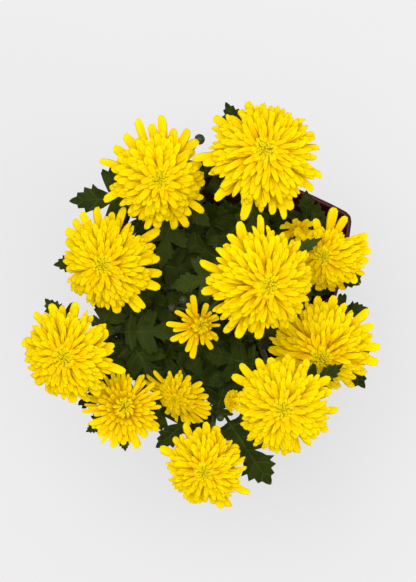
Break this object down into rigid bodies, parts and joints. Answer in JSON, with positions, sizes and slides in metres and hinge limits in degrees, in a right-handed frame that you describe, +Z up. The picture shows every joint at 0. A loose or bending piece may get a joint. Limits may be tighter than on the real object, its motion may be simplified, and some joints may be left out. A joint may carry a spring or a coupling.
{
  "type": "chrysanthemums in a jar",
  "caption": "Bunch of yellow double chrysanthemums with lobed leaves and buds, standing in water in a flared square-mouthed glazed jar.",
  "frame": {"origin": "centre of the jar's foot, on the surface that it stands on", "axes": "+Z up along the jar's axis; +X to the right and +Y away, seen from above as the bunch is usually shown"},
  "size_m": [0.311, 0.3552, 0.393],
  "materials": {
    "jar_glaze": "glossy dark oxblood glaze",
    "water": "still clear water",
    "stem": "matt ribbed green stem",
    "petals": "satin bright yellow petals",
    "bud": "matt grey-green scales",
    "leaf": "matt dark green blade with paler veins"
  },
  "bodies": {
    "root": {"jar": "jar_glaze", "water": "water", "stem_1": "stem", "stem_2": "stem", "stem_3": "stem", "stem_4": "stem", "stem_5": "stem", "stem_6": "stem", "stem_7": "stem", "stem_8": "stem", "stem_9": "stem", "stem_10": "stem", "side_shoot_11": "stem", "side_shoot_12": "stem", "side_shoot_13": "stem", "side_shoot_14": "stem", "flower_head_1": "petals", "flower_head_2": "petals", "flower_head_3": "petals", "flower_head_4": "petals", "flower_head_5": "petals", "flower_head_6": "petals", "flower_head_7": "petals", "flower_head_8": "petals", "flower_head_9": "petals", "flower_head_10": "petals", "flower_head_11": "petals", "flower_head_12": "petals", "flower_head_13": "petals", "flower_head_14": "petals", "bud_1": "bud", "bud_2": "bud", "bud_3": "bud", "bud_4": "bud", "leaf_1": "leaf", "leaf_2": "leaf", "leaf_3": "leaf", "leaf_4": "leaf", "leaf_5": "leaf", "leaf_6": "leaf", "leaf_7": "leaf", "leaf_8": "leaf", "leaf_9": "leaf", "leaf_10": "leaf", "leaf_11": "leaf", "leaf_12": "leaf", "leaf_13": "leaf", "leaf_14": "leaf", "leaf_15": "leaf", "leaf_16": "leaf", "leaf_17": "leaf", "leaf_18": "leaf", "leaf_19": "leaf", "leaf_20": "leaf", "leaf_21": "leaf", "leaf_22": "leaf", "leaf_23": "leaf", "leaf_24": "leaf", "leaf_25": "leaf", "leaf_26": "leaf"}
  },
  "joints": []
}
